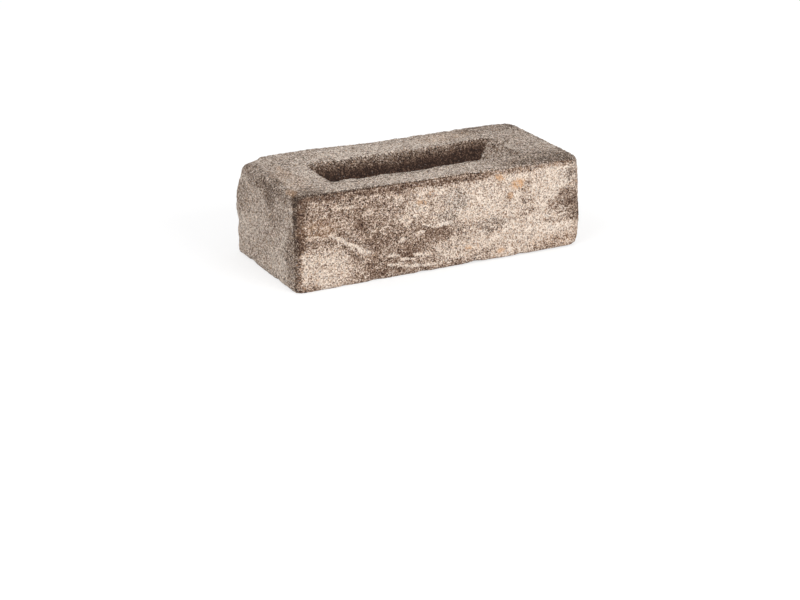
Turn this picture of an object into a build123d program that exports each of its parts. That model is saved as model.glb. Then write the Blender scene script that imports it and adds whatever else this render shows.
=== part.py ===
from build123d import *

import os

# A hand-moulded facing brick with a frog, fired as one piece of clay.
# It lies on its flat struck face, with the frog up.
# Frame: X along the length, Y from the front stretcher face to the back one, Z up.
# The origin is the centre of the bottom face. All sizes are in millimetres.

# Overall size of the fired brick
brick_length = 210.0
brick_width = 100.0
brick_height = 65.0

# Rounding of the arrises. The mould rounds the frogged side and the uprights.
# The other side is struck off with a board, which leaves a sharper arris.
upright_radius = 7.0
top_arris_radius = 5.0
bottom_arris_radius = 1.5

# Frog, measured at its mouth in the plane of the top face.
# The mould's block sat nearer the front face than the back one, by this shift.
frog_length = 138.0
frog_width = 47.0
frog_depth = 18.0
frog_shift = 5.0

# The frog's walls lean out, so that the clay lets go of the block.
# These are how far its floor ends lie in from its mouth.
frog_end_lean = 12.0
frog_side_lean = 7.0
frog_mouth_corner = 12.0
frog_floor_corner = 7.0
frog_floor_radius = 4.0
frog_lip_radius = 3.5


def at_height(shape, height):
    """The edges of a shape that lie flat in the plane z = height."""
    return shape.edges().filter_by_position(Axis.Z, height, height)


def clay_block():
    """The whole block, with its uprights and its two rings of flat arrises rounded."""
    block = Box(
        brick_length,
        brick_width,
        brick_height,
        align=(Align.CENTER, Align.CENTER, Align.MIN),
    )
    block = fillet(block.edges().filter_by(Axis.Z), upright_radius)
    block = fillet(at_height(block, brick_height), top_arris_radius)
    return fillet(at_height(block, 0.0), bottom_arris_radius)


def frog_block():
    """The block in the mould that leaves the frog: its foot is the frog's mouth."""
    floor_level = brick_height - frog_depth
    mouth = Plane.XY.offset(brick_height) * RectangleRounded(
        frog_length,
        frog_width,
        frog_mouth_corner,
    )
    floor = Plane.XY.offset(floor_level) * RectangleRounded(
        frog_length - 2 * frog_end_lean,
        frog_width - 2 * frog_side_lean,
        frog_floor_corner,
    )
    block = loft([floor, mouth], ruled=True)
    block = fillet(at_height(block, floor_level), frog_floor_radius)
    return Pos(0, -frog_shift, 0) * block


def frog_mouth(shape):
    """The edges round the frog's mouth, which is the hole in the top face."""
    top_face = shape.faces().sort_by(Axis.Z)[-1]
    return top_face.inner_wires()[0].edges()


def brick():
    """The fired brick: the clay block less the frog, with a soft lip round the mouth."""
    body = clay_block() - frog_block()
    return fillet(frog_mouth(body), frog_lip_radius)


os.makedirs("parts", exist_ok=True)
export_step(brick(), "parts/brick.step")
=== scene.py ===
# %% [markdown]
# # A hand-moulded brick with a frog
# A brickmaker throws soft clay into a wooden mould dusted with sand, and strikes off what stands proud.
# A block in the mould's floor leaves the frog, the hollow in one bed face, which later holds mortar.
# So five faces carry moulding sand, folds and soft arrises, and the sixth is cut flat by the board.
# The construction model holds the size and the frog. This lesson makes the surface that firing leaves.

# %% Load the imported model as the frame
import math

import bmesh
import bpy
import numpy as np
from mathutils import Matrix, Vector, noise


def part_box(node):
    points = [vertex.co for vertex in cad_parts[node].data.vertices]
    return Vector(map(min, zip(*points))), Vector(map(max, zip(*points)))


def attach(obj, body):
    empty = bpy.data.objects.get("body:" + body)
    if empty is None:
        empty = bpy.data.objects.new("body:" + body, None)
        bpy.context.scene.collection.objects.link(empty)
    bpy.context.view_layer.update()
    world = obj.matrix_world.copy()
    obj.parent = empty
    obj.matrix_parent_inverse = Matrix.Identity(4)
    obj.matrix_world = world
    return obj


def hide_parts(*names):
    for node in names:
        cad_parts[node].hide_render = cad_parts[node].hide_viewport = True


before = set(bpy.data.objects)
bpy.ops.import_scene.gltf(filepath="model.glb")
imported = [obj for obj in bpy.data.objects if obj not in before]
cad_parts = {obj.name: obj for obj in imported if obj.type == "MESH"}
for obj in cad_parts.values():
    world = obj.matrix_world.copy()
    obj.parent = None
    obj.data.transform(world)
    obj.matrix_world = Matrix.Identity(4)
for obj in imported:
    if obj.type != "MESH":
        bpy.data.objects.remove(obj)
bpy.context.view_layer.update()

mm = 0.001
low, high = (Vector(corner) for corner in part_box("brick"))
print("brick, mm:", [round(side / mm, 1) for side in high - low])

# %% [markdown]
# ## The camera
# Lines that run together in the photograph give the angle and the distance of a camera.
# The distance also sets how much smaller the far end looks, so it was found before the lens.
# The lens then sets the brick's size in the picture. A slight roll is left over from the real camera.

# %% Place the camera
camera_distance = 1300 * mm
camera_turn = math.radians(-25.26)
camera_lift = math.radians(20.77)
camera_roll = math.radians(-0.95)
aim = Vector((-8.1, 0, -37.4)) * mm
lens_pixels = 1861.2
picture_width = 800

camera_data = bpy.data.cameras.new("camera")
camera_data.sensor_width = 36
camera_data.lens = camera_data.sensor_width * lens_pixels / picture_width
camera = bpy.data.objects.new("camera", camera_data)
bpy.context.collection.objects.link(camera)
bpy.context.scene.camera = camera
camera_stand = Matrix.Translation(aim) @ Matrix.Rotation(camera_turn, 4, "Z")
camera_tilt = Matrix.Rotation(math.pi / 2 - camera_lift, 4, "X") @ Matrix.Rotation(camera_roll, 4, "Z")
camera.matrix_world = camera_stand @ camera_tilt @ Matrix.Translation((0, 0, camera_distance))
print("camera at, mm:", [round(value / mm) for value in camera.matrix_world.translation])

# %% [markdown]
# ## Writing a material as sums
# A material is a tree of nodes. Written out link by link it is long and hard to read.
# This small class wraps one output, so that an expression such as `0.5 + grain * 2` adds its Math nodes.
# Everything else, such as a texture or a colour mix, comes from its one method, `node`.

# %% A socket that takes part in sums
class Flow:
    """One output of a node. Sums on it add Math nodes to the same tree."""

    def __init__(self, tree, socket=None):
        self.tree = tree
        self.socket = socket

    def node(self, kind, settings, sockets, output=0):
        """Adds any node: its settings first, then the numbers, colours or links of its sockets."""
        made = self.tree.nodes.new(kind)
        for name, value in settings.items():
            if name == "stops":
                set_stops(made.color_ramp, value)
            else:
                setattr(made, name, value)
        for name, value in sockets.items():
            if isinstance(value, Flow):
                self.tree.links.new(value.socket, made.inputs[name])
            else:
                made.inputs[name].default_value = value
        return Flow(self.tree, made.outputs[output])

    def maths(self, operation, *values):
        return self.node("ShaderNodeMath", {"operation": operation}, dict(enumerate(values)))

    def __add__(self, other):
        return self.maths("ADD", self, other)

    __radd__ = __add__

    def __mul__(self, other):
        return self.maths("MULTIPLY", self, other)

    __rmul__ = __mul__

    def __sub__(self, other):
        return self.maths("SUBTRACT", self, other)

    def __rsub__(self, other):
        return self.maths("SUBTRACT", other, self)

    def ramp(self, start, end):
        """Rises softly from 0 to 1 while this value goes from start to end."""
        return self.node(
            "ShaderNodeMapRange",
            {"interpolation_type": "SMOOTHSTEP"},
            {"Value": self, "From Min": start, "From Max": end},
        )

    def blend(self, first, second):
        """Mixes two colours by this value: 0 is all first, and 1 is all second."""
        return self.node(
            "ShaderNodeMix",
            {"data_type": "RGBA", "clamp_factor": True},
            {0: self, 6: first, 7: second},
            output=2,
        )


def colour(red, green, blue):
    """A colour picked on screen, from 0 to 255, as the linear values that the nodes take."""
    screen = [value / 255 for value in (red, green, blue)]
    linear = [v / 12.92 if v <= 0.04045 else ((v + 0.055) / 1.055) ** 2.4 for v in screen]
    return (*linear, 1.0)


def set_stops(color_ramp, stops):
    """Gives a colour ramp its stops, as pairs of a place from 0 to 1 and a colour."""
    while len(color_ramp.elements) < len(stops):
        color_ramp.elements.new(1.0)
    for element, (position, tint) in zip(color_ramp.elements, stops):
        element.position = position
        element.color = tint


def new_tree(owner):
    """An empty node tree for a material or the world, and the socket that its surface goes into."""
    owner.use_nodes = True
    tree = owner.node_tree
    tree.nodes.clear()
    kind = "ShaderNodeOutputWorld" if isinstance(owner, bpy.types.World) else "ShaderNodeOutputMaterial"
    return Flow(tree), tree.nodes.new(kind).inputs["Surface"]


def seen_directly(tree):
    """1 for the camera's own rays, and for those that a mirror or glass sends on."""
    path = tree.node("ShaderNodeLightPath", {}, {}, output="Is Camera Ray")
    rays = path.socket.node.outputs
    mirrored = Flow(path.tree, rays["Is Glossy Ray"])
    passed = Flow(path.tree, rays["Is Transmission Ray"])
    return path.maths("MAXIMUM", path, mirrored.maths("MAXIMUM", mirrored, passed))


# %% [markdown]
# ## A white studio
# The brick stands on white paper in soft light, as it would in a catalogue.
# A large lamp beside the camera lights the long face, and a weaker one above lights the left end and the top.
# The sky round them fills the shadows, so the hollow goes partly dark by itself, and painted shade in its
# colour does the rest.
# The paper looks white to the camera by its own colour, and it still shows a soft shadow.

# %% Light the studio
sky_level = 0.7
sky, sky_surface = new_tree(bpy.data.worlds.new("studio"))
bpy.context.scene.world = bpy.data.worlds["studio"]
background = sky.node(
    "ShaderNodeBackground",
    {},
    {"Color": (1, 1, 1, 1), "Strength": sky_level + seen_directly(sky) * (1 - sky_level)},
)
sky.tree.links.new(background.socket, sky_surface)


lamp_size = 1.6


def soft_box(name, place, power):
    """A square lamp that looks at the middle of the brick."""
    data = bpy.data.lights.new(name, "AREA")
    data.size = lamp_size
    data.energy = power
    lamp = bpy.data.objects.new(name, data)
    bpy.context.collection.objects.link(lamp)
    away_from_brick = place - (low + high) / 2
    turned = away_from_brick.to_track_quat("Z", "Y").to_matrix().to_4x4()
    lamp.matrix_world = Matrix.Translation(place) @ turned


soft_box("key", Vector((1.1, -3.0, 1.4)), 58)
soft_box("fill", Vector((-2.2, -1.0, 2.6)), 24)
bpy.context.scene.view_settings.view_transform = "Standard"

# %% Lay the paper floor
floor_half_side = 4.0
floor_share_of_own_white = 0.5
floor_white = 1.25

bpy.ops.mesh.primitive_plane_add(size=2 * floor_half_side)
floor = bpy.context.object
floor.name = "floor"
paper = bpy.data.materials.new("white_paper")
floor.data.materials.append(paper)
tree, surface = new_tree(paper)
matt = tree.node("ShaderNodeBsdfDiffuse", {}, {"Color": colour(240, 240, 240)})
glow = tree.node("ShaderNodeEmission", {}, {"Color": (1, 1, 1, 1), "Strength": floor_white})
factor = seen_directly(tree) * floor_share_of_own_white
mixed = tree.node("ShaderNodeMixShader", {}, {0: factor, 1: matt, 2: glow})
tree.tree.links.new(mixed.socket, surface)
print("floor and lamps are in place")

# %% [markdown]
# ## The clay block
# The body could come from the construction model, but that is exact, and no moulded brick is.
# So it is modelled again from a cube of the same size: an inset and an extrusion give the frog.
# Then each corner is nudged, because the clay sags, sticks and shrinks a little on its way to the kiln.

# %% Select by place, and the cube with its frog
frog_length = 138 * mm
frog_width = 47 * mm
frog_depth = 18 * mm
frog_shift = 5 * mm
frog_end_lean = 13 * mm
frog_side_lean = 7 * mm


def choose(kind, test):
    """Selects the vertices, edges or faces that pass a test, and nothing else."""
    bpy.ops.mesh.select_mode(type=kind)
    bpy.ops.mesh.select_all(action="DESELECT")
    mesh = bmesh.from_edit_mesh(bpy.context.object.data)
    items = {"VERT": mesh.verts, "EDGE": mesh.edges, "FACE": mesh.faces}[kind]
    chosen = [item for item in items if test(item)]
    for item in chosen:
        item.select_set(True)
    bmesh.update_edit_mesh(bpy.context.object.data)
    return len(chosen)


bpy.ops.object.select_all(action="DESELECT")
bpy.ops.mesh.primitive_cube_add(size=1, location=(low + high) / 2, scale=high - low)
brick = bpy.context.object
brick.name = "handmade_brick"
bpy.ops.object.transform_apply(location=True, rotation=True, scale=True)

bpy.ops.object.mode_set(mode="EDIT")
choose("FACE", lambda face: face.normal.z > 0.9)
side_inset = (high.y - low.y - frog_width) / 2
bpy.ops.mesh.inset(thickness=side_inset)
mouth_length = high.x - low.x - 2 * side_inset
bpy.ops.transform.resize(value=(frog_length / mouth_length, 1, 1))
bpy.ops.transform.translate(value=(0, -frog_shift, 0))
bpy.ops.mesh.extrude_region_move(TRANSFORM_OT_translate={"value": (0, 0, -frog_depth)})
floor_share = (
    (frog_length - 2 * frog_end_lean) / frog_length,
    (frog_width - 2 * frog_side_lean) / frog_width,
    1,
)
bpy.ops.transform.resize(value=floor_share, center_override=(0, -frog_shift, high.z - frog_depth))
print("cage faces:", len(bmesh.from_edit_mesh(brick.data).faces))

# %% Nudge the corners
near_enough = 3 * mm
rim_width = 10 * mm
right_end_shift = 2.5 * mm
left, right, front, back = low.x, high.x, low.y, high.y
corner_nudges = {
    (left, front, high.z): (0.4, 0, 1.2),
    (right, front, high.z): (1.4, 0, -1.5),
    (left, back, high.z): (-1.8, 0.9, 1.0),
    (right, back, high.z): (1.2, 0.8, -0.9),
    (left, front, low.z): (-1.0, 0, 0),
    (left, back, low.z): (-3.4, 1.2, 0),
    (right, front, low.z): (1.4, 0, 1.0),
}


def at(place, reach=near_enough):
    """A test for choose: whether a vertex is at a place."""
    place = Vector(place)
    return lambda vert: (vert.co - place).length < reach


for corner, nudge in corner_nudges.items():
    choose("VERT", at(corner))
    bpy.ops.transform.translate(value=Vector(nudge) * mm)
right_wall = choose(
    "VERT",
    lambda vert: abs(vert.co.y) < back - rim_width and 0 < vert.co.x < right - rim_width,
)
bpy.ops.transform.translate(value=(right_end_shift, 0, 0))
print("corners nudged:", len(corner_nudges), "and in the frog's right end:", right_wall)

# %% [markdown]
# ## Soft arrises
# Wet clay can't fill a mould's corners, so the moulded arrises are round. The struck side stays sharper.
# The frog's mouth has a soft lip, and its floor runs into its walls in a small curve.
# Bevels on the cage give each arris its own radius, while the mesh is still easy to select.

# %% Bevel the cage
upright_radius = 5.0 * mm
top_arris_radius = 4.5 * mm
struck_arris_radius = 1.2 * mm
frog_corner_radius = 3.5 * mm
frog_lip_radius = 2.2 * mm
frog_floor_radius = 4 * mm
frog_floor_height = high.z - frog_depth
bevel_steps = 5


def upright(edge):
    """Whether an edge runs from the top down to another level."""
    a, b = (vert.co for vert in edge.verts)
    return abs(a.z - b.z) > frog_depth / 2


def inside_frog(edge):
    """Whether an edge belongs to the frog's mouth, walls or floor."""
    inner_x, inner_y = right - rim_width, back - rim_width
    return all(abs(vert.co.x) < inner_x and abs(vert.co.y) < inner_y for vert in edge.verts)


def level(edge, height):
    """Whether both ends of an edge lie near a height."""
    return all(abs(vert.co.z - height) < near_enough for vert in edge.verts)


def bevel(test, radius):
    """Rounds every edge that passes a test."""
    found = choose("EDGE", test)
    bpy.ops.mesh.bevel(offset=radius, segments=bevel_steps, affect="EDGES", clamp_overlap=True)
    return found


beveled = [
    bevel(lambda edge: upright(edge) and inside_frog(edge), frog_corner_radius),
    bevel(lambda edge: upright(edge) and not inside_frog(edge), upright_radius),
    bevel(lambda edge: inside_frog(edge) and level(edge, frog_floor_height), frog_floor_radius),
    bevel(lambda edge: inside_frog(edge) and level(edge, high.z), frog_lip_radius),
    bevel(lambda edge: not inside_frog(edge) and level(edge, high.z), top_arris_radius),
    bevel(lambda edge: not inside_frog(edge) and level(edge, low.z), struck_arris_radius),
]
bpy.ops.object.mode_set(mode="OBJECT")
print("edges rounded in each bevel:", beveled)

# %% [markdown]
# ## An even skin
# The cage has a few long faces, and dents and grit need many small ones of one size.
# A voxel remesh wraps the cage in even squares and closes every seam.
# It starts at twice the final size, so that the hand work goes fast. A subdivision then halves it.

# %% Wrap the cage in even squares
first_square = 1.9 * mm


def add_and_apply(kind, **settings):
    """Adds a modifier to the brick and applies it at once."""
    modifier = brick.modifiers.new(kind.lower(), kind)
    for name, value in settings.items():
        setattr(modifier, name, value)
    bpy.ops.object.modifier_apply(modifier=modifier.name)


add_and_apply("REMESH", mode="VOXEL", voxel_size=first_square)
print("squares in the first skin:", len(brick.data.polygons))

# %% [markdown]
# ## Thumb marks and worn corners
# Hands and a palette press the green brick out of true: a hollow here, a lump there.
# Proportional editing does the same: one vertex moves, and its surroundings follow it less and less.
# Each row below is one such push: where it is, how far the clay moves, and how wide it gives way.

# %% Push the clay about
pushes = [
    # the corner over the far left end, rounded off by handling
    ((-105, 50, 66), (1.0, -1.6, -1.1), 24),
    # the other top corners
    ((105, 50, 64), (-0.4, -0.4, 0), 9),
    ((105, -50, 63), (-0.3, 0.5, -0.5), 8),
    ((-105, -50, 66), (0.8, 0.4, -0.8), 8),
    # the two long top arrises, worn along the middle
    ((0, -50, 64), (0, 0.5, -0.5), 50),
    ((-20, 50, 64), (0, -0.5, -0.9), 36),
    ((25, 50, 64), (0, -0.4, -0.9), 45),
    # a thumb's hollow high in the left end
    ((-105, -2, 57), (1.3, 0, 0.2), 13),
    # lumps and hollows down the far left upright
    ((-105, 50, 36), (-1.2, 0.6, 0), 16),
    ((-105, 50, 42), (-0.6, 0.5, 0), 6),
    ((-105, 50, 31), (-0.5, 0.4, 0), 6),
    ((-105, 50, 24), (0.9, -0.6, 0), 5),
    ((-105, 50, 17), (-0.9, 0.5, 0), 6),
    ((-105, 50, 9), (0.7, -0.4, 0), 5),
    # the right end bellies out
    ((105, -50, 22), (1.2, -0.2, 0), 24),
    ((105, 0, 30), (0.8, 0, 0), 35),
    ((105, -50, 42), (0.6, 0, 0), 12),
    ((105, -50, 2), (-1.0, 0.5, 0.8), 5),
    # nicks that the striking board left in the lower arris
    ((-72, -50, 0), (0, 0.3, 0.7), 4),
    ((-48, -50, 0), (0, 0.5, 0.5), 6),
    ((-14, -50, 0), (0, 0.3, 0.8), 5),
    ((26, -50, 0), (0, 0.4, 0.6), 7),
    ((60, -50, 0), (0, 0.4, 0.9), 4),
    ((-105, -18, 0), (0.4, 0, 0.7), 5),
    ((-105, 26, 0), (0.4, 0, 0.6), 6),
    ((105, 12, 0), (-0.4, 0, 0.8), 5),
    ((-60, 50, 0), (0, -0.4, 0.7), 5),
    ((34, 50, 0), (0, -0.4, 0.8), 6),
    # hollows and swells of the long front face
    ((-45, -50, 22), (0, 0.9, 0), 26),
    ((-80, -50, 14), (0, -0.5, 0), 20),
    ((60, -50, 20), (0, -0.7, 0), 30),
    ((20, -50, 45), (0, 0.5, 0), 22),
    ((97, -50, 33), (0, 0.9, 0), 9),
    # the frog's mouth, where the block dragged the clay
    ((-66, -29, 65), (0, -0.5, -0.3), 4),
    ((-60, -28, 65), (0, 2.4, 0.4), 13),
    ((-30, -28, 65), (0, 1.8, 0.2), 24),
    ((12, -28, 64), (0, 0.7, 0.1), 24),
    ((30, 19, 64), (0, 0.7, -0.6), 26),
    ((-40, 19, 65), (0, 0.8, -0.8), 22),
    ((69, -5, 64), (1.5, 0, -1.5), 18),
]


# Where handling wore an arris round: a place, how far round it, and how long it was rubbed.
rubs = [
    ((-105, 50, 66), 14, 40),
    ((-105, 24, 66), 8, 12),
    ((-105, -5, 66), 8, 8),
    ((105, 50, 64), 7, 4),
    ((105, -50, 63), 7, 5),
]


def push(place, move, reach):
    """Moves the vertex nearest to a place, and the clay round it, by millimetres."""
    mesh = bmesh.from_edit_mesh(brick.data)
    target = Vector(place) * mm
    nearest = min(mesh.verts, key=lambda vert: (vert.co - target).length_squared)
    bpy.ops.mesh.select_all(action="DESELECT")
    nearest.select_set(True)
    bpy.ops.transform.translate(
        value=Vector(move) * mm,
        use_proportional_edit=True,
        proportional_edit_falloff="SMOOTH",
        proportional_size=reach * mm,
    )


def rub(place, reach, times):
    """Smooths the skin round a place, in millimetres, as a thumb would."""
    found = choose("VERT", at(Vector(place) * mm, reach * mm))
    bpy.ops.mesh.vertices_smooth(factor=0.5, repeat=times)
    return found


bpy.ops.object.mode_set(mode="EDIT")
bpy.ops.mesh.select_mode(type="VERT")
for one_push in pushes:
    push(*one_push)
rubbed = [rub(*one_rub) for one_rub in rubs]
bpy.ops.object.mode_set(mode="OBJECT")
add_and_apply("SUBSURF", levels=1, render_levels=1)
print("vertices rubbed at each place:", rubbed)
print("pushes:", len(pushes), "squares in the final skin:", len(brick.data.polygons))

# %% [markdown]
# ## Where the sand lies and where the kiln scorched it
# The colour of such a brick is thin: pale moulding sand over brown clay, greyed on some faces by smoke.
# The patches follow the brick's shape, so they are painted on its vertices, as masks.
# An image would do too, but the mesh would have to be unwrapped for it first.
# Each mask is a number from 0 to 1, and the material reads it to choose between its clays and sands.
# A spot is an ellipse on one face, in millimetres. A stroke is a soft line. Noise makes both wander.

# %% Read the skin, and how its outlines wander
# Without a seed, this noise takes one from the clock, and each run would paint other outlines.
outline_seed = 3
noise.seed_set(outline_seed)
count = len(brick.data.vertices)
flat = np.empty(count * 3)
brick.data.vertices.foreach_get("co", flat)
place = flat.reshape(-1, 3) / mm
brick.data.vertices.foreach_get("normal", flat)
facing = flat.reshape(-1, 3).copy()


def wander(size, amount):
    """A smooth random shift for each vertex, for outlines that aren't drawn with a ruler."""
    return np.array([noise.noise_vector(Vector(point) / size) for point in place]) * amount


painted = place + wander(20, 2.6) + wander(5, 1.0)
print("vertices to paint:", count)


# %% Brushes
def rise(value, start, end):
    """Rises softly from 0 to 1 while a value goes from start to end."""
    share = np.clip((value - start) / (end - start), 0, 1)
    return share * share * (3 - 2 * share)


def outer_face(axis, side):
    """How much each vertex belongs to an outer wall. The top's finish wraps a little way down each wall."""
    turned = side * facing[:, axis] - 0.6 * np.maximum(facing[:, 2], 0)
    reach = rise(side * place[:, axis], 0.6 * high[axis] / mm, 0.7 * high[axis] / mm)
    return rise(turned, 0.5, 0.8) * reach


faces = {
    "front": (outer_face(1, -1), (0, 2)),
    "back": (outer_face(1, 1), (0, 2)),
    "left": (outer_face(0, -1), (1, 2)),
    "right": (outer_face(0, 1), (1, 2)),
    "top": (rise(facing[:, 2], 0.35, 0.7) * rise(place[:, 2], 56, 59), (0, 1)),
    "bottom": (rise(-facing[:, 2], 0.6, 0.9), (0, 1)),
}


def spot(face, middle, reach, turn=0, edge=0.45):
    """1 inside an ellipse on a face, and 0 outside it, with an edge as soft as its share says."""
    weight, axes = faces[face]
    across, up = painted[:, axes[0]] - middle[0], painted[:, axes[1]] - middle[1]
    cos, sin = math.cos(math.radians(turn)), math.sin(math.radians(turn))
    along = (across * cos + up * sin) / reach[0]
    away = (up * cos - across * sin) / reach[1]
    return weight * (1 - rise(np.hypot(along, away), 1 - edge, 1 + edge))


def stroke(face, points, width, steady=0.5):
    """1 along a line through points on a face, fading to 0 at its width."""
    weight, axes = faces[face]
    drawn = place[:, axes] * steady + painted[:, axes] * (1 - steady)
    nearest = np.full(count, 1e9)
    for start, end in zip(points, points[1:]):
        start, end = np.array(start, float), np.array(end, float)
        run = end - start
        share = np.clip((drawn - start) @ run / (run @ run), 0, 1)
        nearest = np.minimum(nearest, np.linalg.norm(drawn - start - share[:, None] * run, axis=1))
    return weight * (1 - rise(nearest, 0.2 * width, width))


def towards(mask, level, *marks):
    """Moves a mask towards a level wherever a mark lies."""
    for mark in marks:
        mask = mask + (level - mask) * mark
    return mask


# %% [markdown]
# ## The dark of the frog: scorch and painted shade
# Little sand sticks in the frog, and smoke lingers there. Its walls are also painted darker the deeper they
# lie, as painted shade in the hollow.
# Spots would cross the uneven lip, so this mask comes from how far each vertex lies below the top face.
# The wall at the right end faces the light, so it is left pale and gets no painted shade.

# %% Find the frog's walls
frog_half_length, frog_half_width = frog_length / mm / 2, frog_width / mm / 2
frog_middle = right_end_shift / mm / 2
lip_width = 3
end_reach = frog_half_length + frog_middle + lip_width
side_reach = frog_half_width + lip_width + 1
over_frog = rise(end_reach - np.abs(place[:, 0] - frog_middle), 0, lip_width)
over_frog = over_frog * rise(side_reach - np.abs(place[:, 1] + frog_shift / mm), 0, lip_width)
level_rim = rise(facing[:, 2], 0.8, 0.95) * rise(place[:, 2], 56, 60)
frog_inside = over_frog * rise(place[:, 2], 30, 40) * (1 - level_rim)

# The top face falls by this much for each step to the right. In the right half the dark begins higher.
top_slope = -0.015
higher_at_right = 3.5
dark_starts, dark_is_full = -0.5, 10.5
depth = high.z / mm + top_slope * place[:, 0] - place[:, 2] - wander(12, 0.9)[:, 2]
depth = depth + higher_at_right * rise(place[:, 0], 0, 60)
depth_share = np.clip((depth - dark_starts) / (dark_is_full - dark_starts), 0, 1)
pale_end = rise(-facing[:, 0], 0.55, 0.75)
# Painted shade: the frog's walls get darker with depth, on top of the scorch, except for the lit right end.
frog_scorch_and_shade = frog_inside * depth_share * (1 - 0.95 * pale_end)
print("vertices in the frog:", int((frog_inside > 0.5).sum()))

# %% [markdown]
# ## The sand
# The mould is dusted by hand, so some fields come out dense and pale, and others show the brown clay.
# Each group of marks moves the mask towards one level. A later group goes over the earlier ones.

# %% Paint how much sand covers the clay
def spots(face, *rows):
    """Several spots on one face. Each row is a middle, a reach and, where it's turned, an angle."""
    return [spot(face, *row) for row in rows]


sand = towards(np.full(count, 0.57), 0.5, faces["front"][0], faces["back"][0])
sand = towards(sand, 0.62, faces["left"][0], faces["right"][0])
# dense pale fields
sand = towards(
    sand,
    1.0,
    *spots("front", ((57, 45), (46, 17)), ((80, 17), (36, 10))),
    *spots("front", ((28, 40), (9, 10)), ((70, 52), (34, 8))),
    *spots("back", ((55, 30), (40, 22), 8), ((-70, 42), (24, 14))),
)
sand = towards(sand, 0.86, spot("front", (-88, 11), (24, 14), -12))
# half covered
sand = towards(
    sand,
    0.64,
    *spots("front", ((10, 12), (28, 8)), ((-8, 49), (20, 12)), ((96, 5), (14, 4))),
    *spots("back", ((0, 10), (80, 9))),
)
sand = towards(sand, 0.8, *spots("front", ((46, 5), (8, 5)), ((63, 4), (6, 4)), ((25, 24), (7, 5))))
sand = towards(sand, 0.72, spot("top", (-30, -40), (60, 6)))
sand = towards(
    sand,
    0.76,
    *spots("top", ((-10, 32), (54, 12)), ((-77, -3), (6, 20))),
    *spots("left", ((-30, 10), (20, 9)), ((30, 28), (16, 14))),
    *spots("right", ((14, 18), (26, 10), 10), ((-26, 50), (14, 7))),
)
# brown clay with stray grains
sand = towards(
    sand,
    0.42,
    # The spot at (-90, 34) and the two spots after it lie just under the folds, and their bare clay is
    # painted shadow under the ridges.
    *spots("front", ((-78, 47), (26, 13)), ((-40, 53), (17, 7)), ((-90, 34), (14, 5), -14)),
    *spots("front", ((-67, 23), (8, 3), -35), ((-62, 18), (4, 5), 20)),
    *spots("back", ((-20, 30), (34, 16), 12), ((85, 50), (18, 9))),
    *spots("right", ((20, 42), (22, 9), -15), ((-34, 14), (12, 8))),
)
sand = towards(
    sand,
    0.38,
    *spots("front", ((-36, 26), (27, 14), -10), ((-48, 36), (13, 10)), ((-34, 4), (28, 7))),
    *spots("front", ((-20, 25), (12, 6)), ((-13, 32), (9, 3)), ((-14, 17), (6, 3))),
)
# bare clay
sand = towards(
    sand,
    0.26,
    *spots("front", ((-25, 16), (7, 5)), ((-38, 12), (6, 3)), ((-50, 13), (5, 4)), ((-44, 27), (8, 6))),
    *spots("front", ((4, 26), (5, 5)), ((-6, 27), (6, 4)), ((-61, 43), (4, 8)), ((-44, 4), (6, 3))),
    *spots("back", ((-12, 22), (10, 5)), ((-34, 38), (7, 5))),
)
# thin patches among the pale fields
sand = towards(
    sand,
    0.56,
    *spots("front", ((36, 26), (13, 3), -3), ((13, 46), (9, 7)), ((6, 36), (6, 5)), ((65, 38), (6, 3))),
    *spots("front", ((67, 51), (4, 4)), ((52, 43), (3, 3)), ((98, 51), (5, 6)), ((34, 7), (4, 2))),
    *spots("front", ((65, 45), (5, 3.5)), ((84, 21), (18, 1.4)), ((90, 9), (14, 2)), ((-91, 3), (6, 3))),
    *spots("front", ((86, 34), (6, 4)), ((66, 30), (8, 2)), ((94, 25), (5, 3))),
    *spots("back", ((60, 20), (12, 5)), ((20, 50), (14, 6))),
)
sand = towards(sand, 0.42, spot("front", (12, 3), (12, 3)))
sand = towards(sand, 0.36, *spots("front", ((96, 35), (10, 7.5), -8), ((102, 24), (6, 7))))
# clumps of sand that stuck where the clay was wet
sand = towards(
    sand,
    0.95,
    *spots("front", ((-66, 54), (3, 1.4)), ((-53, 48), (2.6, 2)), ((-32, 54), (3, 2)), ((-27, 38), (4, 4))),
    *spots("front", ((-28, 26), (2, 1.6)), ((-76, 55), (3, 1.6)), ((-16, 29), (4, 1.6))),
    *spots("front", ((-14, 54), (4, 2.4)), ((-14, 44), (6, 3)), ((-2, 53), (4, 3)), ((-47, 40), (2, 1.4))),
    *spots("front", ((-55, 22), (3, 2)), ((30, 36), (12, 5)), ((30, 15), (12, 4)), ((80, 55), (12, 5))),
    *spots("back", ((-40, 50), (5, 3)), ((-5, 40), (4, 3)), ((10, 34), (5, 3))),
)
# The frog's mask of scorch and painted shade sets the sand there too.
sand = towards(sand, 0.5, frog_scorch_and_shade)
sand = towards(sand, 0.35, faces["bottom"][0])

# %% [markdown]
# ## Smoke
# Smoke in the kiln greys the faces that it reaches. Here these are the top and the two ends.
# The two long faces stay warm, apart from a few patches. So whole faces are set first, then the patches.

# %% Paint what smoke greyed
grey = towards(np.ones(count), 0.0, faces["front"][0], faces["back"][0])
grey = towards(grey, 0.0, frog_scorch_and_shade)
grey = towards(
    grey,
    0.7,
    *spots("front", ((13, 46), (9, 8)), ((6, 36), (6, 5)), ((37, 25), (11, 5)), ((97, 52), (7, 8))),
)
grey = towards(grey, 0.3, *spots("front", ((96, 35), (11, 8), -8), ((102, 24), (6, 7))))
grey = towards(grey, 0.7, faces["left"][0], faces["right"][0])
grey = towards(grey, 0.4, frog_inside * pale_end)
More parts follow.
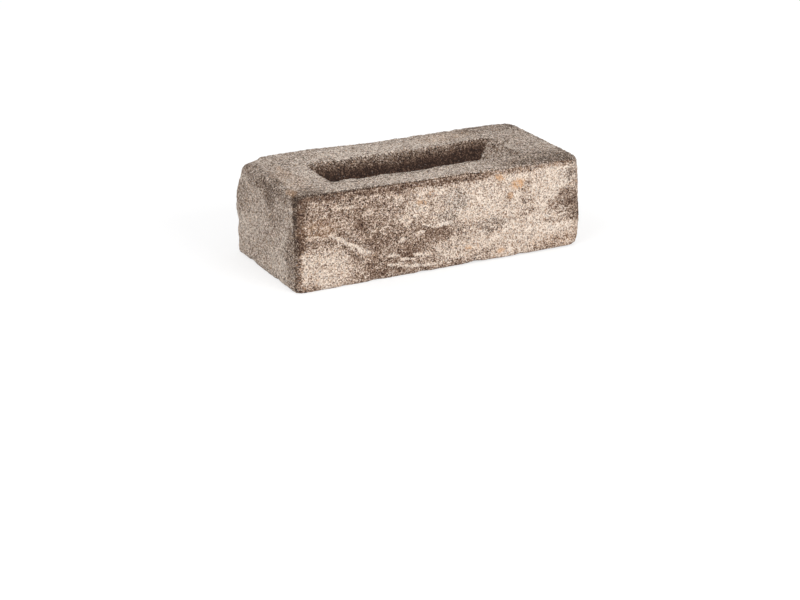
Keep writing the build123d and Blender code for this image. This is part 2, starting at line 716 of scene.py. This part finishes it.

# %% [markdown]
# ## Scorching and painted shade
# An arris heats up from two sides, so it burns darker than the faces beside it.
# A row of spots would leave gaps along it, so the arrises are found by which way their rounding faces.
# The smudges on the faces are marks again.
# This mask also holds painted shade: under the folds, at the front's two lower corners, on the near upright's
# rounding and deep in the frog.

# %% Paint what the fire scorched, and the painted shade
front_arris = rise(-facing[:, 1], 0.2, 0.5) * rise(facing[:, 2], 0.1, 0.4) * rise(-place[:, 1], 38, 42)
near_upright = rise(-facing[:, 1], 0.15, 0.45) * rise(-facing[:, 0], 0.05, 0.3) * rise(-place[:, 0], 92, 96)
left_share = rise(-place[:, 0], -60, 20)
far_left_share = rise(-place[:, 0], 20, 70)
front_arris = front_arris * (1 - rise(facing[:, 2], 0.35, 0.65) * (1 - far_left_share))
upper_share = rise(painted[:, 2], 24, 32)

burnt = towards(
    np.zeros(count),
    0.2,
    *spots("top", ((84, 40), (30, 10)), ((-104, 10), (6, 40)), ((82, -38), (34, 14)), ((105, 0), (4, 36))),
    *spots("left", ((-44, 20), (8, 26)), ((38, 42), (12, 12)), ((-16, 46), (13, 8))),
    stroke("front", [(105, 4), (105, 60)], 5),
    *spots("right", ((-40, 40), (9, 20)), ((30, 50), (16, 8)), ((40, 10), (8, 9))),
)
burnt = towards(
    burnt,
    0.3,
    *spots("top", ((-98, -44), (14, 8))),
    # The two spots low at the front's corners, 3 mm up, are painted shade where the brick meets what it
    # stands on.
    *spots("front", ((99, 54), (3, 4)), ((98, 3), (12, 3)), ((-99, 3), (9, 3))),
    *spots("left", ((-8, 62), (44, 6)), ((-41, 24), (7, 14))),
)
burnt = towards(
    burnt,
    0.12,
    # These two strokes are painted shadow, a dark line just under the folds at the left of the front.
    stroke("front", [(-100, 34), (-90, 33), (-83, 32)], 1.8),
    stroke("front", [(-72, 27), (-65, 22), (-60, 16)], 1.8),
    *spots("front", ((94, 6), (14, 5)), ((65, 37), (4, 2))),
)
burnt = towards(burnt, 0.38, *spots("top", ((85, -44), (34, 8)), ((-98, -45), (12, 6))))
burnt = towards(burnt, 0.5, spot("left", (-7, 57), (10, 7)))
burnt = towards(burnt, 0.45, front_arris)
burnt = towards(burnt, 0.75, front_arris * left_share)
burnt = towards(burnt, 0.35, stroke("front", [(-100, 63), (-60, 62), (-20, 61), (40, 61), (100, 61)], 3))
# The near upright's rounding is darkened, partly as scorch and partly as painted shade where it turns from
# the light.
burnt = towards(burnt, 0.5, near_upright, stroke("front", [(-104, 4), (-104, 24)], 2.4))
burnt = towards(burnt, 0.85, near_upright * upper_share)
burnt = towards(burnt, 0.5, stroke("front", [(-103.5, 30), (-103, 44), (-102.5, 60)], 6.5))
burnt = towards(burnt, 0.45, spot("front", (-99, 60), (4, 3)))
burnt = towards(burnt, 0.25, spot("front", (99, 33), (3, 2.5)))
# Deep in the frog: scorch, and painted shade that grows with depth.
burnt = towards(burnt, 0.95, frog_scorch_and_shade)

# %% [markdown]
# ## Iron
# Specks of iron ore in the clay come out of the fire as small orange stains, and wide ones are faint.
# They are few, and each has its own place, so they are marked one by one.

# %% Paint what iron stained orange
rust = towards(
    np.zeros(count),
    0.85,
    *spots("front", ((58, 51), (4.5, 4)), ((60, 48), (2, 2)), ((44, 57), (4, 2), -30)),
)
rust = towards(
    rust,
    0.6,
    *spots("front", ((-16, 49), (2.5, 1.5)), ((-12, 48), (1.5, 1.5)), ((19, 12.5), (3, 1.5))),
    *spots("front", ((-7, 54), (2, 1.5)), ((45, 7), (2.5, 1.5)), ((52, 43), (2.5, 2))),
    *spots("back", ((-62, 44), (4, 3)), ((30, 18), (3, 2))),
)
rust = towards(rust, 0.3, stroke("front", [(-98, 39), (-90, 41), (-86, 42)], 3))
rust = towards(rust, 0.28, spot("top", (-89, 2), (3, 22)))
rust = towards(rust, 0.12, spot("front", (90, 8), (20, 6)), spot("top", (-92, -10), (8, 24)))
rust = towards(rust, 0.14, spot("front", (-88, 42), (14, 6)), spot("top", (45, 35), (22, 8)))
rust = towards(rust, 0.3, spot("top", (-103, -38), (4, 6)))

# %% [markdown]
# ## Folds
# The lump of clay slides down the mould's walls, and its skin doubles over into thin pale ridges.
# One set of strokes is used twice, for the sand here and for the raised ridge later, so the two agree.

# %% Paint the folds, where the clay's skin doubled over
folds = np.zeros(count)
folds = towards(
    folds,
    1.0,
    stroke("front", [(-81, 37), (-76, 34), (-70, 30)], 1.5, steady=0.8),
    stroke("front", [(-69, 29), (-63, 27), (-59, 23), (-53, 21)], 1.7, steady=0.8),
    stroke("front", [(-99, 38), (-90, 37)], 1.0, steady=0.8),
    stroke("front", [(-40, 16), (-31, 15)], 1.3, steady=0.8),
    stroke("front", [(-40, 10), (-30, 8), (-20, 6), (-8, 5)], 1.1, steady=0.8),
    stroke("front", [(-30, 12), (-20, 11)], 1.1, steady=0.8),
    stroke("front", [(-20, 14), (-8, 12)], 1.4, steady=0.8),
    stroke("front", [(-14, 34), (-4, 31), (8, 32)], 1.3, steady=0.8),
)
folds = towards(
    folds,
    0.7,
    stroke("front", [(36, 15), (54, 22), (70, 25), (86, 25)], 2.2),
    stroke("front", [(70, 14), (82, 16), (100, 17)], 3.2),
    stroke("back", [(-30, 30), (-10, 26), (14, 27), (30, 22)], 1.6),
    stroke("back", [(40, 12), (60, 14), (80, 11)], 1.6),
)
# Scorch and painted shade both thin the sand.
sand = towards(sand, 1.0, folds) - 0.35 * burnt
struck = faces["bottom"][0]
coarse = faces["top"][0]

masks = {
    "sand": sand,
    "grey": grey,
    "burnt": burnt,
    "rust": rust,
    "folds": folds,
    "struck": struck,
    "coarse": coarse,
}
for name, mask in masks.items():
    layer = brick.data.attributes.new(name, "FLOAT", "POINT")
    layer.data.foreach_set("value", mask.astype(np.float32))
    print(f"mask {name}: mean {mask.mean():.2f}")

# %% [markdown]
# ## Lumps, folds and grit in the mesh
# What can be felt with a finger is real shape: waves a hand wide, lumps, folds and coarse grit.
# Displace modifiers push the skin along its normals by a cloud texture, from the widest wave to the grit.
# Vertex groups hold one of them to the folds and one to the top, and soften the rest on the struck face.
# Sculpting would take a day and couldn't be run again. Grains too small for the mesh are left to the bump.

# %% Displace the skin
def weigh(name, weights):
    """A vertex group with a weight for each vertex, in steps of a twentieth."""
    group = brick.vertex_groups.new(name=name)
    steps = np.round(np.clip(weights, 0, 1) * 20).astype(int)
    for step in range(1, 21):
        group.add(np.flatnonzero(steps == step).tolist(), step / 20, "REPLACE")


def roughen(name, size, height, detail=1, group="moulded"):
    """Pushes a group of the skin in and out by clouds of one size."""
    texture = bpy.data.textures.new(name, "CLOUDS")
    texture.noise_scale = size * mm
    texture.noise_depth = detail
    add_and_apply(
        "DISPLACE",
        texture=texture,
        texture_coords="LOCAL",
        strength=height * mm,
        mid_level=0.5,
        vertex_group=group,
    )


smoothed_by_board = 0.6
fold_height = 0.5 * mm

weigh("moulded", 1 - smoothed_by_board * struck)
weigh("folds", folds)
weigh("coarse", coarse)
roughen("waves", 45, 1.2)
roughen("lumps", 13, 0.5)
add_and_apply("DISPLACE", vertex_group="folds", strength=fold_height, mid_level=0)
roughen("clods", 4.5, 0.45, detail=2)
roughen("crumbs", 2.6, 0.7, group="coarse")
roughen("grit", 1.8, 0.7)
brick.vertex_groups.clear()
print("rough skin, mm:", [round(value / mm, 1) for value in brick.dimensions])

# %% [markdown]
# ## The struck face
# The board leaves the underside flat and its arris sharp, and the green brick dries on a level board.
# A cut with a plane would leave long thin faces. So the skin near the floor is stretched down a little,
# and all that comes out below the floor is scaled flat onto it.

# %% Set the brick down
arris_height = 3 * mm
sharpening = 1.25

bpy.ops.object.mode_set(mode="EDIT")
choose("VERT", lambda vert: vert.co.z < low.z + arris_height)
bpy.ops.transform.resize(value=(1, 1, sharpening), center_override=(0, 0, low.z + arris_height))
below_floor = choose("VERT", lambda vert: vert.co.z < low.z)
bpy.ops.transform.resize(value=(1, 1, 0), center_override=(0, 0, low.z))
bpy.ops.object.mode_set(mode="OBJECT")
bpy.ops.object.shade_smooth()
print("vertices that touch the floor:", below_floor, "of", len(brick.data.vertices))

# %% [markdown]
# ## Fired clay under moulding sand
# Seen close, the face is a crowd of grains: each is cream, tan or white, or it is missing and clay shows.
# A Voronoi texture gives each grain its own random number. Where the mask is above it, the grain is there.
# So the same mask gives a dense pale face at 1 and brown clay with stray grains at 0.3.
# A photograph of sand would be quicker, but it repeats, and it holds the light that it was taken in.

# %% Tones of clay and sand, from a pit's bottom in painted shade to a grain of quartz
warm_tones = [
    (0.0, colour(44, 29, 22)),
    (0.22, colour(90, 67, 54)),
    (0.42, colour(128, 103, 86)),
    (0.6, colour(172, 148, 129)),
    (0.78, colour(219, 199, 182)),
    (1.0, colour(242, 228, 214)),
]
smoked_tones = [
    (0.0, colour(50, 39, 33)),
    (0.22, colour(88, 73, 62)),
    (0.42, colour(124, 106, 92)),
    (0.6, colour(162, 144, 129)),
    (0.78, colour(200, 184, 170)),
    (1.0, colour(236, 223, 211)),
]
iron_orange = colour(206, 150, 92)
tan_grain = colour(196, 155, 118)
cool_grain = colour(158, 151, 147)
clay_tone = 0.42
sand_tone = 0.78

# %% Mix the clay and sand
grain_size = 0.9 * mm
speck_size = 0.68 * mm
flake_size = 2.4 * mm
clump_size = 4 * mm
cloud_size = 16 * mm
dust_size = 1.0 * mm
streak_size = 2.2 * mm
bump_height = 0.45 * mm
odd_grain_share = 0.4

clay = bpy.data.materials.new("sanded_clay")
brick.data.materials.clear()
brick.data.materials.append(clay)
tree, surface = new_tree(clay)
where = tree.node("ShaderNodeTexCoord", {}, {}, output="Object")


def mask_of(name):
    """One of the masks that were painted on the vertices."""
    return tree.node("ShaderNodeAttribute", {"attribute_name": name}, {}, output="Fac")


def noise_of(size, detail=2.0, point=where):
    """A cloudy number round 0, from about -0.5 to 0.5."""
    texture = tree.node(
        "ShaderNodeTexNoise",
        {},
        {"Vector": point, "Scale": 1 / size, "Detail": detail, "Roughness": 0.6},
    )
    return texture - 0.5


def stretched(share):
    """Places squeezed along some axes, so that a noise read there comes out stretched along them."""
    return tree.node("ShaderNodeMapping", {}, {"Vector": where, "Scale": share})


def grains_of(size):
    """Three random numbers for each grain, and the distance from its middle."""
    cells = tree.node(
        "ShaderNodeTexVoronoi",
        {"feature": "F1"},
        {"Vector": where, "Scale": 1 / size},
        output="Color",
    )
    split = tree.node("ShaderNodeSeparateColor", {}, {"Color": cells})
    numbers = [Flow(tree.tree, socket) for socket in split.socket.node.outputs]
    return (*numbers, Flow(tree.tree, cells.socket.node.outputs["Distance"]))


sand_here, grey_here, burnt_and_shade_here, rust_here = map(mask_of, ("sand", "grey", "burnt", "rust"))
fold_here, struck_here, coarse_here = map(mask_of, ("folds", "struck", "coarse"))
grain_chance, shade, kind, from_middle = grains_of(grain_size)
speck_chance, speck_shade, speck_kind = grains_of(speck_size)[:3]
flake_edge = tree.node(
    "ShaderNodeTexVoronoi",
    {"feature": "DISTANCE_TO_EDGE"},
    {"Vector": where, "Scale": 1 / flake_size},
)
clumps = noise_of(clump_size)
clouds = noise_of(cloud_size)
dragged = noise_of(streak_size, 3.0, stretched((0.14, 0.14, 1.0)))
dust = noise_of(dust_size, 3.0)

# Patches are bolder on the warm faces than on the smoked ones.
boldness = 1 - grey_here * 0.7
curled_flakes = flake_edge.ramp(0.13, 0.05) * speck_chance.ramp(0.35, 0.45)
chance = grain_chance * 0.34 + speck_chance * 0.38 + 0.14
cover = sand_here + (clumps * 0.3 + dragged * 0.28) * boldness + clouds * 0.16
cover = cover + (curled_flakes - 0.2) * boldness * 0.36
has_sand = (cover - chance).ramp(-0.04, 0.04)

# Fine pits lie in groups. Pocks are wider and shallower, and only the top has them.
# Both sink in the bump, and their colour is darkened as painted shade in the hollows.
pits = (speck_kind + clumps * 0.4).ramp(0.17, 0.1) * (0.34 - grey_here * 0.12)
pits = pits + kind.ramp(0.06, 0.04) * 0.2
pocks = noise_of(streak_size, 1.0).ramp(-0.08, -0.2) * coarse_here

# Clay between dense sand is dusted with it. A grain alone on bare clay looks the brightest.
dusted = (sand_here - 0.4) * (1 - grey_here) * 0.2
# Scorch and painted shade from one mask darken the clay and the grains alike.
clay_here = clay_tone + grey_here * 0.05 - burnt_and_shade_here * 0.32 + dusted
grain_here = sand_tone - burnt_and_shade_here * 0.58 + (sand_here - 0.7) * 0.12 + fold_here * 0.1
tone = clay_here + has_sand * (grain_here - clay_here)
tone = tone + (shade - 0.5) * (grey_here * 0.16 + 0.22)
tone = tone + (speck_shade - 0.5) * (grey_here * 0.28 - burnt_and_shade_here * 0.16 + 0.46)
tone = tone + dust * 0.8 + clouds * 0.14 + clumps * (coarse_here * 0.16 + 0.08)
# Painted shade: pits and pocks are darkened as if their hollows held shadow.
tone = tone - pits - pocks * 0.16

warm = tree.node("ShaderNodeValToRGB", {"stops": warm_tones}, {"Fac": tone})
smoked = tree.node("ShaderNodeValToRGB", {"stops": smoked_tones}, {"Fac": tone})
face_colour = (grey_here + clouds * 0.8).blend(warm, smoked)
face_colour = (has_sand * kind.ramp(0.92, 0.94) * odd_grain_share).blend(face_colour, tan_grain)
face_colour = (has_sand * kind.ramp(0.18, 0.16) * odd_grain_share).blend(face_colour, cool_grain)
stain = rust_here * (kind * 0.5 + clumps).ramp(-0.1, 0.3)
face_colour = (stain * 0.8).blend(face_colour, iron_orange)

struck_lines = struck_here * noise_of(1.6 * mm, 2.0, stretched((0.05, 1.0, 1.0)))
relief = has_sand * (0.9 - from_middle * 0.6) + speck_shade * 0.6 + dust - pits * 2.5 - pocks * 0.6
relief = relief + struck_lines * 3
bumped = tree.node(
    "ShaderNodeBump",
    {},
    {"Height": relief, "Strength": 0.9, "Distance": bump_height},
)
roughness = 0.86 + shade * 0.1
shader = tree.node(
    "ShaderNodeBsdfPrincipled",
    {},
    {"Base Color": face_colour, "Roughness": roughness, "Normal": bumped, "Specular IOR Level": 0.3},
)
tree.tree.links.new(shader.socket, surface)
print("nodes in the clay:", len(clay.node_tree.nodes))

# %% Hand the brick over to the frame
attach(brick, "root")
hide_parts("brick")
